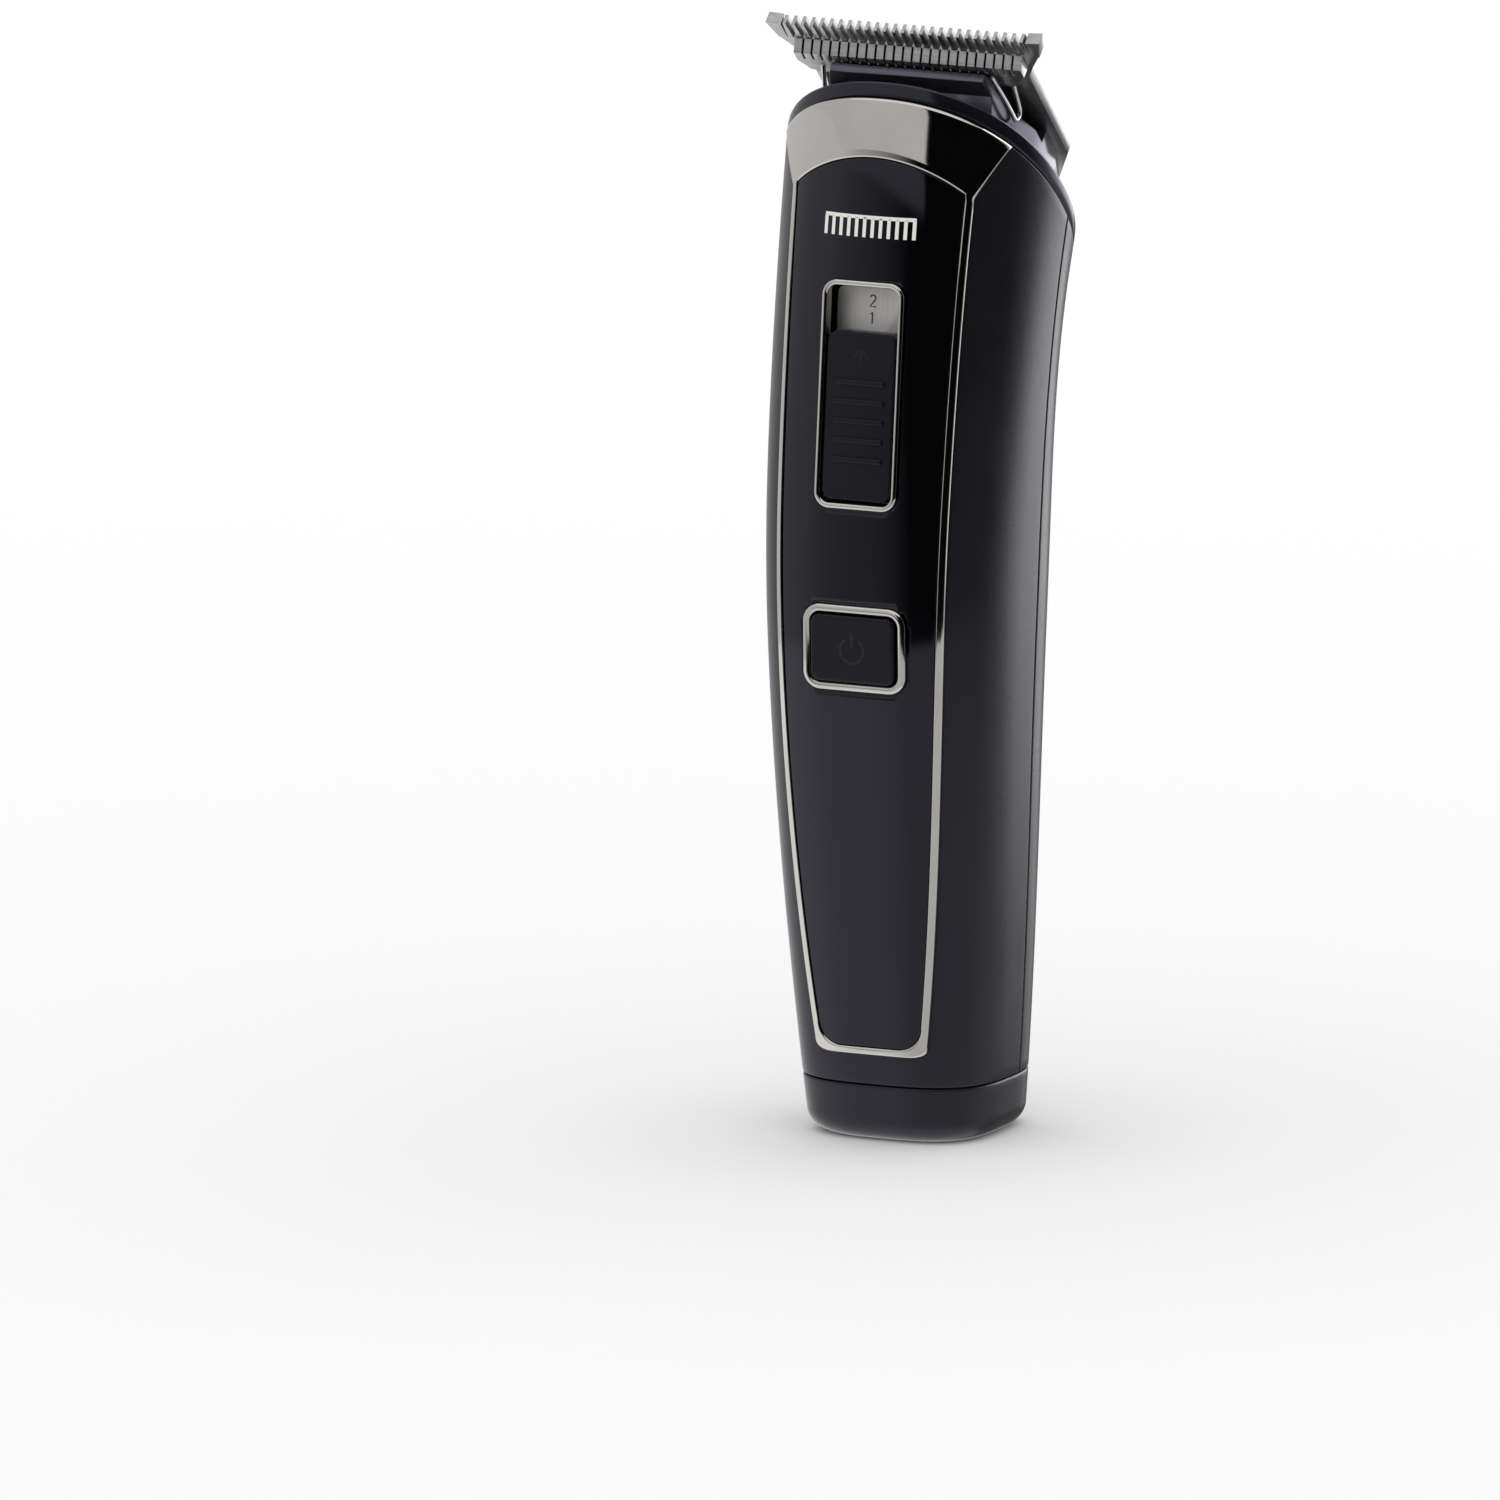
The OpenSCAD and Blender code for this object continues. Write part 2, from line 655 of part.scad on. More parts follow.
module blade_spring() {
    wire = 0.35;
    front_x = 12.7;
    back_x = 14.1;
    color("silver") rim_frame() for (s = [-1, 1]) {
        rod([s * front_x, -16.6, 5.4], [s * back_x, -9.6, 4], wire);
        rod([s * back_x, -9.7, 3.95], [s * back_x, -8.5, 4.9], wire);
        rod([s * back_x, -8.5, 4.8], [s * back_x, -8.9, 5.9], wire);
        rod([s * back_x, -8.8, 5.8], [s * back_x, -12.6, 7.1], wire);
    }
}

module blade_screws() {
    color("silver") for (s = [-1, 1]) rim_frame() translate([s * screw_x, 5, plate_n + plate_t + 0.05]) {
        difference() {
            cylinder(h = 0.8, r = 1.7);
            translate([-1.2, -0.2, 0.35]) cube([2.4, 0.4, 1]);
        }
        translate([0, 0, -5.5]) cylinder(h = 5.6, r = 0.8);
    }
}

front_shell();
rear_shell();
front_panel();
chrome_bezel();
collar_ring();
base_cap();
charge_contacts();
charge_jack();
base_screws();
slider_ring();
setting_plate();
length_slider();
push_rod();
detent_spring();
button_ring();
power_button();
button_pad();
tact_switch();
circuit_board();
battery_cell();
battery_tab_top();
battery_tab_base();
motor_can();
motor_endcap();
motor_shaft();
eccentric_cam();
motor_bracket();
bracket_screws();
inner_chassis();
top_deck();
head_base();
head_clips();
head_housing();
fixed_blade();
moving_blade();
drive_yoke();
blade_carrier();
blade_spring();
blade_screws();
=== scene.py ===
"""Cordless beard trimmer: visual model, studio and camera. Lengths in the mesh code are in mm."""

import json
import math

import bmesh
import bpy
import numpy as np
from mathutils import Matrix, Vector


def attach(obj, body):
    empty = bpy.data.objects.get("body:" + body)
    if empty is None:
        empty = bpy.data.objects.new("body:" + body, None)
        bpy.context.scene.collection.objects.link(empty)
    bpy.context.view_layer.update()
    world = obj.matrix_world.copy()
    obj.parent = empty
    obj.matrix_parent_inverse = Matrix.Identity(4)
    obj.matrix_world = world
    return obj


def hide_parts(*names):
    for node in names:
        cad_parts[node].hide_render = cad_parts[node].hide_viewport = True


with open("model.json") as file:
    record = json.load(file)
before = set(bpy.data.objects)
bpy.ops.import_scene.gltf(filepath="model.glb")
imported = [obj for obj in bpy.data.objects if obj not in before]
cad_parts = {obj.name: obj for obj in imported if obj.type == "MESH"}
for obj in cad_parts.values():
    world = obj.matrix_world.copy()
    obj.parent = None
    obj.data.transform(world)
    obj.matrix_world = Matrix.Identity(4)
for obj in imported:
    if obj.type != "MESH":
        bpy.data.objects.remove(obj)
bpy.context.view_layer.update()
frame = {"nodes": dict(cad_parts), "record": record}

MM = 0.001
BLACK_TINT = (0.8, 0.8, 1.0, 1.0)
NO_TINT = (1.0, 1.0, 1.0, 1.0)


# ---------------------------------------------------------------- body skin, as in the design
SPINE_H = 131.5
SKIN_W = (13.6, 17.9, 18.2, 20.1)
SKIN_D = (13.2, 15.3, 17.8, 15.5)
SKIN_Y = (1.0, -1.5, -7.0, 5.5)
SQUARE_LOW = 3.0
SQUARE_TOP = 2.2
ROUND_FROM = 70.0
EDGE_R = 3.0
SHELL_TOP = 129.0
LEAN_FROM = 90.0
SEAM_ANGLE = 5.8
CAP_H = 8.0
WALL = 1.8
CAP_GAP = 0.12
SHELL_EDGE = 0.35
MM_PER_DEGREE = 0.42
SEAM_GAP = 0.15


def bez(c, t):
    return c[0] * (1 - t) ** 3 + 3 * c[1] * t * (1 - t) ** 2 + 3 * c[2] * t**2 * (1 - t) + c[3] * t**3


def half_w(h):
    return bez(SKIN_W, h / SPINE_H)


def half_d(h):
    return bez(SKIN_D, h / SPINE_H)


def mid_y(h):
    return bez(SKIN_Y, h / SPINE_H)


def lean_part(h):
    return np.clip((h - LEAN_FROM) / (SHELL_TOP - LEAN_FROM), 0, 1)


def lean(h):
    t = lean_part(h)
    return t * t * (2 - t)


def lean_rate(h):
    t = lean_part(h)
    return t * (4 - 3 * t) / (SHELL_TOP - LEAN_FROM)


def edge_in(h):
    low = np.clip(h, 0, EDGE_R)
    return EDGE_R - np.sqrt(EDGE_R**2 - (EDGE_R - low) ** 2)


def squareness(h):
    t = np.clip((h - ROUND_FROM) / (SHELL_TOP - ROUND_FROM), 0, 1)
    return SQUARE_LOW + (SQUARE_TOP - SQUARE_LOW) * t * t * (3 - 2 * t)


def rounded(v, h):
    return np.sign(v) * np.abs(v) ** (2 / squareness(h))


def skin(h, angle, inset):
    """Points of the body skin: h up the spine, angle in degrees round it, inset inside it."""
    h, angle, inset = np.broadcast_arrays(np.asarray(h, float), np.asarray(angle, float),
                                          np.asarray(inset, float))
    a = np.radians(angle)
    k = inset + edge_in(h)
    y = (half_d(h) - k) * rounded(np.sin(a), h)
    return np.stack([(half_w(h) - k) * rounded(np.cos(a), h), mid_y(h) + y, h - lean(h) * y], -1)


def bulge(x, h):
    k = squareness(h)
    return (1 - np.minimum(1, np.abs(x) / half_w(h)) ** k) ** (1 / k)


def front_y(x, z):
    """Depth of the skin's front at x, z."""
    x, z = np.broadcast_arrays(np.asarray(x, float), np.asarray(z, float))
    h = np.minimum(z, SHELL_TOP)
    for _ in range(8):
        r = half_d(h) * bulge(x, h)
        h = np.minimum(SHELL_TOP, h - (h + lean(h) * r - z) / (1 + lean_rate(h) * r))
    return mid_y(h) - half_d(h) * bulge(x, h)


def crown_z(x):
    return SHELL_TOP + half_d(SHELL_TOP) * bulge(x, SHELL_TOP)


# ---------------------------------------------------------------- mesh helpers
def new_object(name, verts, faces, smooth=True):
    mesh = bpy.data.meshes.new(name)
    mesh.from_pydata([tuple(float(c) * MM for c in v) for v in verts], [], faces)
    mesh.validate()
    obj = bpy.data.objects.new(name, mesh)
    bpy.context.scene.collection.objects.link(obj)
    bm = bmesh.new()
    bm.from_mesh(mesh)
    bmesh.ops.remove_doubles(bm, verts=bm.verts, dist=1e-7)
    bmesh.ops.recalc_face_normals(bm, faces=bm.faces)
    bm.to_mesh(mesh)
    bm.free()
    mesh.polygons.foreach_set("use_smooth", [smooth] * len(mesh.polygons))
    return obj


def grid_object(name, grid, ring_rows=False, ring_cols=False, caps=False):
    """A surface through a rows x cols grid of points, closed up in either direction if asked."""
    rows, cols = grid.shape[:2]
    faces = []
    for r in range(rows if ring_rows else rows - 1):
        for c in range(cols if ring_cols else cols - 1):
            r2, c2 = (r + 1) % rows, (c + 1) % cols
            faces.append((r * cols + c, r * cols + c2, r2 * cols + c2, r2 * cols + c))
    if caps:
        faces.append(tuple(range(cols)))
        faces.append(tuple((rows - 1) * cols + c for c in reversed(range(cols))))
    return new_object(name, grid.reshape(-1, 3), faces)


def spread(low, high, count, edge=0.0, steps=5):
    """Values from low to high, closer together within edge of both ends."""
    if edge == 0:
        return np.linspace(low, high, count)
    near = edge * (1 - np.cos(np.linspace(0, math.pi / 2, steps + 1)))
    return np.concatenate([low + near[:-1], np.linspace(low + edge, high - edge, count),
                           high - near[:-1][::-1]])


def round_off(distance, radius):
    """How far a rounded edge falls back at that distance from it."""
    d = np.clip(distance, 0, radius)
    return radius - np.sqrt(np.maximum(0, radius**2 - (radius - d) ** 2))


def bevel(obj, width, segments=3, angle=35):
    """Rounds the crisp edges of a hard piece and keeps its flats flat."""
    flat = obj.modifiers.new("planar", "DECIMATE")
    flat.decimate_type = "DISSOLVE"
    flat.angle_limit = math.radians(1)
    mod = obj.modifiers.new("bevel", "BEVEL")
    mod.width = width * MM
    mod.segments = segments
    mod.limit_method = "ANGLE"
    mod.angle_limit = math.radians(angle)
    mod.harden_normals = True
    mod.use_clamp_overlap = True
    obj.data.polygons.foreach_set("use_smooth", [True] * len(obj.data.polygons))
    return obj


def rounded_loop(w, h, r, steps=10):
    """Corner points of a rounded rectangle, centred, counter-clockwise."""
    loop = []
    for i, (sx, sy) in enumerate(((1, 1), (-1, 1), (-1, -1), (1, -1))):
        for k in range(steps + 1):
            a = math.radians(90 * i + 90 * k / steps)
            loop.append((sx * (w / 2 - r) + r * math.cos(a), sy * (h / 2 - r) + r * math.sin(a)))
    return np.array(loop)


class Place:
    """A local frame: x across, u up the surface, d out of it."""

    def __init__(self, origin, tilt):
        self.origin = np.array(origin, float)
        self.up = np.array([0, math.sin(tilt), math.cos(tilt)])
        self.out = np.array([0, -math.cos(tilt), math.sin(tilt)])

    def __call__(self, x, u, d):
        x, u, d = np.broadcast_arrays(*(np.asarray(v, float) for v in (x, u, d)))
        return (self.origin + x[..., None] * np.array([1.0, 0, 0]) + u[..., None] * self.up
                + d[..., None] * self.out)


def profile_ring(name, place, loop, profile):
    """Sweeps a closed profile of (inset, height) pairs round a loop."""
    centre = loop.mean(0)
    nxt = np.roll(loop, -1, 0)
    prv = np.roll(loop, 1, 0)
    along = nxt - prv
    normal = np.stack([along[:, 1], -along[:, 0]], 1)
    normal /= np.linalg.norm(normal, axis=1)[:, None]
    normal *= np.sign(((loop - centre) * normal).sum(1))[:, None]
    rows = []
    for inset, height in profile:
        p = loop - normal * inset
        rows.append(place(p[:, 0], p[:, 1], height))
    return grid_object(name, np.array(rows), ring_rows=True, ring_cols=True)


def pad_object(name, place, loop, profile):
    """A closed pad: a loop stepped in through (inset, height) pairs and filled at the end."""
    centre = loop.mean(0)
    span = np.abs(loop - centre).max(0)
    rows = []
    for inset, height in profile:
        p = centre + (loop - centre) * (1 - inset / span)
        rows.append(place(p[:, 0], p[:, 1], height))
    return grid_object(name, np.array(rows), ring_cols=True, caps=True)


# ---------------------------------------------------------------- materials
def tree_of(name):
    mat = bpy.data.materials.new(name)
    mat.use_nodes = True
    tree = mat.node_tree
    shader = tree.nodes["Principled BSDF"]
    coord = tree.nodes.new("ShaderNodeTexCoord")
    return mat, tree, shader, coord


def noise(tree, coord, scale, detail=4.0, stretch=(1, 1, 1), rough=0.55):
    mapping = tree.nodes.new("ShaderNodeMapping")
    mapping.inputs["Scale"].default_value = stretch
    tree.links.new(coord.outputs["Object"], mapping.inputs["Vector"])
    node = tree.nodes.new("ShaderNodeTexNoise")
    node.inputs["Scale"].default_value = scale
    node.inputs["Detail"].default_value = detail
    node.inputs["Roughness"].default_value = rough
    tree.links.new(mapping.outputs["Vector"], node.inputs["Vector"])
    return node


def vary_colour(tree, shader, source, dark, light, low=0.3, high=0.7):
    ramp = tree.nodes.new("ShaderNodeValToRGB")
    ramp.color_ramp.elements[0].position = low
    ramp.color_ramp.elements[0].color = (*dark, 1)
    ramp.color_ramp.elements[1].position = high
    ramp.color_ramp.elements[1].color = (*light, 1)
    tree.links.new(source.outputs["Fac"], ramp.inputs["Fac"])
    tree.links.new(ramp.outputs["Color"], shader.inputs["Base Color"])
    return ramp


def vary_roughness(tree, shader, source, low, high):
    span = tree.nodes.new("ShaderNodeMapRange")
    span.inputs["From Min"].default_value = 0.3
    span.inputs["From Max"].default_value = 0.7
    span.inputs["To Min"].default_value = low
    span.inputs["To Max"].default_value = high
    tree.links.new(source.outputs["Fac"], span.inputs["Value"])
    tree.links.new(span.outputs["Result"], shader.inputs["Roughness"])


def add_bump(tree, shader, source, height, strength=1.0):
    node = tree.nodes.new("ShaderNodeBump")
    node.inputs["Strength"].default_value = strength
    node.inputs["Distance"].default_value = height * MM
    tree.links.new(source.outputs["Fac"], node.inputs["Height"])
    tree.links.new(node.outputs["Normal"], shader.inputs["Normal"])


def plastic(name, dark, light, rough, grain, grain_height, ior=1.46, tint=NO_TINT):
    """Moulded plastic: faint colour drift, spark-eroded grain, roughness that wanders."""
    mat, tree, shader, coord = tree_of(name)
    drift = noise(tree, coord, 60, 3)
    fine = noise(tree, coord, grain, 5)
    vary_colour(tree, shader, drift, dark, light)
    vary_roughness(tree, shader, drift, rough[0], rough[1])
    add_bump(tree, shader, fine, grain_height)
    shader.inputs["IOR"].default_value = ior
    shader.inputs["Specular Tint"].default_value = tint
    return mat


def metal(name, dark, light, rough, scale, stretch, height):
    """Metal: tone and roughness follow the grind or the plating, with a shallow relief."""
    mat, tree, shader, coord = tree_of(name)
    lines = noise(tree, coord, scale, 6, stretch)
    drift = noise(tree, coord, 90, 3)
    vary_colour(tree, shader, lines, dark, light)
    vary_roughness(tree, shader, drift, rough[0], rough[1])
    add_bump(tree, shader, lines, height)
    shader.inputs["Metallic"].default_value = 1.0
    return mat


STILL = (1, 1, 1)
MATERIALS = {
    "shell_black": plastic("satin_shell", (0.0062, 0.0066, 0.008), (0.0085, 0.009, 0.0106), (0.25, 0.31),
                           5200, 0.003, 1.44, BLACK_TINT),
    "panel_black": plastic("gloss_panel", (0.0010, 0.0010, 0.0014), (0.0015, 0.0015, 0.002), (0.05, 0.08),
                           900, 0.0005, 1.49, BLACK_TINT),
    "rim_black": plastic("gloss_rim", (0.004, 0.0044, 0.006), (0.006, 0.0064, 0.0085), (0.14, 0.2),
                         2600, 0.002, 1.5, BLACK_TINT),
    "slider_black": plastic("fine_satin_black", (0.004, 0.0042, 0.0052), (0.0058, 0.006, 0.0075),
                            (0.30, 0.38), 6500, 0.003, 1.34, BLACK_TINT),
    "inner_grey": plastic("moulded_grey", (0.03, 0.03, 0.032), (0.045, 0.045, 0.048), (0.45, 0.55),
                          3000, 0.006),
    "nylon": plastic("natural_nylon", (0.66, 0.66, 0.62), (0.76, 0.76, 0.72), (0.4, 0.5), 2500, 0.005),
    "board_green": plastic("solder_mask", (0.01, 0.10, 0.04), (0.02, 0.15, 0.065), (0.2, 0.3), 1500, 0.01),
    "cell_wrap": plastic("shrink_sleeve", (0.02, 0.09, 0.26), (0.03, 0.12, 0.32), (0.22, 0.32), 800, 0.01),
    "pad_rubber": plastic("silicone", (0.05, 0.05, 0.052), (0.07, 0.07, 0.073), (0.6, 0.7), 2500, 0.006),
    "bright_trim": metal("bright_trim", (0.53, 0.51, 0.485), (0.59, 0.57, 0.545), (0.03, 0.055),
                         120, STILL, 0.0008),
    "plated_steel": metal("nickel_plate", (0.55, 0.545, 0.53), (0.65, 0.645, 0.63), (0.16, 0.24),
                          400, STILL, 0.002),
    "blade_steel": metal("ground_steel", (0.30, 0.30, 0.305), (0.50, 0.50, 0.50), (0.28, 0.38),
                         160, (1, 60, 60), 0.004),
    "spring_steel": metal("spring_wire", (0.55, 0.55, 0.55), (0.68, 0.68, 0.68), (0.15, 0.25),
                          300, STILL, 0.002),
    "setting_silver": metal("setting_silver", (0.58, 0.565, 0.55), (0.72, 0.70, 0.68), (0.46, 0.54),
                            150, (60, 1, 1), 0.002),
}


def finish_piece(obj, body, slot, *nodes):
    """Rides a piece on its body, gives it the slot's material, and hides the CAD nodes it stands for."""
    obj.data.materials.clear()
    obj.data.materials.append(MATERIALS[slot])
    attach(obj, body)
    if nodes:
        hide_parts(*nodes)
    return obj


# ---------------------------------------------------------------- shells, cap and collar
def shell(name, a0, a1, cols, node):
    """One shell: outside with rounded edges, and a wall behind it."""
    low, high, r = CAP_H + CAP_GAP, SHELL_TOP, SHELL_EDGE
    hs = spread(low, high, 110, r)
    angles = spread(a0, a1, cols, 1.6, 6)
    h, a = np.meshgrid(hs, angles, indexing="ij")
    side = np.minimum(a - a0, a1 - a) * MM_PER_DEGREE
    fall = np.maximum(round_off(np.minimum(h - low, high - h), r), round_off(side, r))
    outer = skin(h, a, fall)
    inner = skin(h, a, WALL)
    rows, cols = h.shape
    verts = np.concatenate([outer.reshape(-1, 3), inner.reshape(-1, 3)])
    n = rows * cols
    faces = []
    for i in range(rows - 1):
        for j in range(cols - 1):
            p, q = i * cols + j, (i + 1) * cols + j
            faces += [(p, p + 1, q + 1, q), (n + p, n + q, n + q + 1, n + p + 1)]
    for j in range(cols - 1):
        p, q = j, (rows - 1) * cols + j
        faces += [(p + 1, p, n + p, n + p + 1), (q, q + 1, n + q + 1, n + q)]
    for i in range(rows - 1):
        p, q = i * cols, (i + 1) * cols
        faces += [(p, q, n + q, n + p), (q + cols - 1, p + cols - 1, n + p + cols - 1, n + q + cols - 1)]
    return finish_piece(new_object(name, verts, faces), "handset", "shell_black", node)


def cut(obj, tool):
    """Cuts tool out of obj for good, then drops the tool."""
    mod = obj.modifiers.new("cut", "BOOLEAN")
    mod.operation = "DIFFERENCE"
    mod.solver = "EXACT"
    mod.object = tool
    mesh = bpy.data.meshes.new_from_object(obj.evaluated_get(bpy.context.evaluated_depsgraph_get()))
    obj.modifiers.clear()
    obj.data = mesh
    bpy.data.objects.remove(tool)


def block(name, place, loop, low, high):
    rows = np.array([place(loop[:, 0], loop[:, 1], d) for d in (low, high)])
    return grid_object(name, rows, ring_cols=True, caps=True)


SOCKET_HOLE = (0, 4, 3.25)
CONTACT_HOLES = ((6.5, -3, 1.55), (-6.5, -3, 1.55))
SCREW_HOLES = ((9, 4, 1.6), (-9, 4, 1.6))
CAP_EDGE = 0.3
CAP_FLOOR = 1.5


def base_cap():
    """Closed foot of the body, with its holes for the socket, contacts and screws."""
    quarter = np.linspace(0, math.pi / 2, 12)
    hs = np.concatenate([EDGE_R * (1 - np.cos(quarter)), np.linspace(3.4, CAP_H - CAP_EDGE, 8),
                         CAP_H - CAP_EDGE + CAP_EDGE * np.sin(np.linspace(0.2, math.pi / 2, 5))])
    angles = np.linspace(0, 360, 160, endpoint=False)
    h, a = np.meshgrid(hs, angles, indexing="ij")
    outer = skin(h, a, round_off(CAP_H - h, CAP_EDGE))
    obj = grid_object("base_cap_moulding", outer, ring_cols=True, caps=True)
    turn = np.linspace(0, 2 * math.pi, 48, endpoint=False)
    for x, y, r in (SOCKET_HOLE, *CONTACT_HOLES, *SCREW_HOLES):
        rows = np.array([[(x + r * math.cos(t), y + r * math.sin(t), z) for t in turn]
                         for z in (-1, CAP_H - CAP_FLOOR)])
        cut(obj, grid_object("hole", rows, ring_cols=True, caps=True))
    return finish_piece(obj, "handset", "shell_black", "base_cap")


def collar():
    """Rim ring: outside, softly rounded lip, and the step down to the head."""
    r, lip, lip_r = 0.7, 3.0, 0.4
    angles = np.linspace(0, 360, 240, endpoint=False)
    turn = np.linspace(0, math.pi / 2, 8)
    profile = [(0.25, SHELL_TOP + 0.1), (0.06, SHELL_TOP + 0.2), (0, SHELL_TOP + 0.4)]
    profile += [(r * (1 - math.cos(t)), SPINE_H - r + r * math.sin(t)) for t in turn]
    profile += [(lip - lip_r + lip_r * math.sin(t), SPINE_H - lip_r + lip_r * math.cos(t)) for t in turn]
    profile += [(lip, SHELL_TOP + 0.12)]
    rows = np.array([skin(h, angles, g) for g, h in profile])
    obj = grid_object("collar_rim", rows, ring_rows=True, ring_cols=True)
    return finish_piece(obj, "handset", "rim_black", "collar_ring")


# ---------------------------------------------------------------- front panel and bright frame
FRAME_LOW = 12.5
FRAME_SIDE_TOP = 131.5
FRAME_W = (8.2, 13.5, 12.6, 13.6)
STRIP_W = 1.0
PANEL_LOW = 13.6
PANEL_R = 3.5
PANEL_RISE = 0.75
PANEL_HALF = 11.5
HOLE_FIT = 0.1
SHELL_FIT = 0.2
ARCH_TOP = 136.7
ARCH_R = 19.6
ARCH_FROM = 124.0
CROWN_X = 16.9


def outer_x(z):
    return bez(FRAME_W, (z - FRAME_LOW) / (FRAME_SIDE_TOP - FRAME_LOW))


def inner_x(z):
    return outer_x(z) - STRIP_W


def arch_z(x):
    return ARCH_TOP - ARCH_R + np.sqrt(ARCH_R**2 - x**2)


INNER_TOP_X = inner_x(FRAME_SIDE_TOP)
INNER_TOP_Z = arch_z(INNER_TOP_X)
CORNER_X = inner_x(PANEL_LOW + PANEL_R) - PANEL_R


def panel_half(z):
    """Half-width of the panel at height z."""
    low = np.clip(PANEL_LOW + PANEL_R - z, 0, PANEL_R)
    corner = CORNER_X + np.sqrt(PANEL_R**2 - low**2)
    return np.where(z < PANEL_LOW + PANEL_R, corner, inner_x(np.minimum(z, FRAME_SIDE_TOP)))


def front_panel(slider_place, button_place):
    back, fit, r = 0.1, 0.06, 0.22
    t = np.linspace(0.12, 1, 14)
    z_low = PANEL_LOW + PANEL_R * (1 - np.cos(np.pi / 2 * t))
    z_high = spread(z_low[-1] + 0.8, INNER_TOP_Z, 110, 0.25, 4)[4:]
    z_rows = np.concatenate([z_low, z_high])
    u = spread(-1, 1, 40, 0.024, 5)
    z, u = np.meshgrid(z_rows, u, indexing="ij")
    x = (panel_half(z) - fit) * u
    blend = np.clip((z - ARCH_FROM) / (INNER_TOP_Z - ARCH_FROM), 0, 1)
    zz = z + (arch_z(x) - INNER_TOP_Z) * blend - fit
    edge = np.minimum((1 - np.abs(u)) * PANEL_HALF, np.minimum(z_rows[-1] - z, z - z_rows[0]))
    drop = round_off(edge, r)
    outer = np.stack([x, front_y(x, zz) - PANEL_RISE + drop, zz], -1)
    inner = np.stack([x, front_y(x, zz) - back, zz], -1)
    rows, cols = z.shape
    n = rows * cols
    faces = []
    for i in range(rows - 1):
        for j in range(cols - 1):
            p, q = i * cols + j, (i + 1) * cols + j
            faces += [(p, p + 1, q + 1, q), (n + p, n + q, n + q + 1, n + p + 1)]
    rim = list(range(cols)) + [i * cols + cols - 1 for i in range(1, rows)]
    rim += ([(rows - 1) * cols + j for j in range(cols - 2, -1, -1)]
            + [i * cols for i in range(rows - 2, 0, -1)])
    faces += [(a, b, n + b, n + a) for a, b in zip(rim, rim[1:] + rim[:1])]
    obj = new_object("gloss_front_panel", np.concatenate([outer.reshape(-1, 3), inner.reshape(-1, 3)]), faces)
    cut(obj, block("slider_hole", slider_place,
                   rounded_loop(RING_W + HOLE_FIT, RING_L + HOLE_FIT, RING_R), -6, 6))
    cut(obj, block("button_hole", button_place,
                   rounded_loop(BEZEL_W + HOLE_FIT, BEZEL_L + HOLE_FIT, BEZEL_R), -6, 6))
    return finish_piece(obj, "handset", "panel_black", "front_panel")


def frame_pairs():
    """Matched inner and outer points of the bright frame, bottom middle up the right side."""
    def corner(deg):
        a = math.radians(deg)
        return (CORNER_X + PANEL_R * math.sin(a), PANEL_LOW + PANEL_R * (1 - math.cos(a)))

    end_w, end_rise = 6.6 * 0.85, 1.6
    foot = (outer_x(FRAME_LOW + end_rise), FRAME_LOW + end_rise)
    pairs = [((CORNER_X * t, PANEL_LOW), (end_w * t, FRAME_LOW)) for t in np.linspace(0, 1, 6)]
    for deg in range(6, 91, 6):
        t = deg / 90
        x = (1 - t) ** 2 * end_w + 2 * t * (1 - t) * (foot[0] + 0.15) + t * t * foot[0]
        pairs.append((corner(deg), (x, FRAME_LOW + end_rise * t * t)))
    for z in np.linspace(PANEL_LOW + PANEL_R, FRAME_SIDE_TOP, 70):
        t = (z - PANEL_LOW - PANEL_R) / (FRAME_SIDE_TOP - PANEL_LOW - PANEL_R)
        zo = foot[1] + (FRAME_SIDE_TOP - foot[1]) * t
        pairs.append(((inner_x(z), z), (outer_x(zo), zo)))
    top = crown_z(CROWN_X)
    for t in np.linspace(0, 1, 12)[1:]:
        pairs.append(((INNER_TOP_X, FRAME_SIDE_TOP + (INNER_TOP_Z - FRAME_SIDE_TOP) * t),
                      (outer_x(FRAME_SIDE_TOP) + (CROWN_X - outer_x(FRAME_SIDE_TOP)) * t,
                       FRAME_SIDE_TOP + (top - FRAME_SIDE_TOP) * t)))
    for u in np.linspace(1, 0, 30)[1:]:
        pairs.append(((INNER_TOP_X * u, arch_z(INNER_TOP_X * u)), (CROWN_X * u, crown_z(CROWN_X * u))))
    return pairs


def bright_frame():
    rise, back, r = 1.0, 0.1, 0.42
    half = frame_pairs()
    pairs = half + [((-p[0][0], p[0][1]), (-p[1][0], p[1][1])) for p in half[-2:0:-1]]
    inner = np.array([p[0] for p in pairs], float)
    outer = np.array([p[1] for p in pairs], float)
    width = np.linalg.norm(outer - inner, axis=1)
    turn = np.linspace(0, math.pi / 2, 6)
    near = [r * (1 - math.cos(t)) for t in turn]
    rows = []
    for d in near:
        rows.append((inner + (outer - inner) * (d / width)[:, None], rise - round_off(np.array(d), r)))
    for s in np.linspace(0, 1, 9)[1:-1]:
        span = (r + (width - 2 * r) * s) / width
        rows.append((inner + (outer - inner) * span[:, None], rise))
    for d in near[::-1]:
        rows.append((outer + (inner - outer) * (d / width)[:, None], rise - round_off(np.array(d), r)))
    rows.append((outer, back))
    rows.append((inner, back))
    grid = np.array([np.stack([p[:, 0], front_y(p[:, 0], p[:, 1]) - lift, p[:, 1]], -1) for p, lift in rows])
    obj = grid_object("bright_panel_frame", grid, ring_rows=True, ring_cols=True)
    return finish_piece(obj, "handset", "bright_trim", "chrome_bezel")


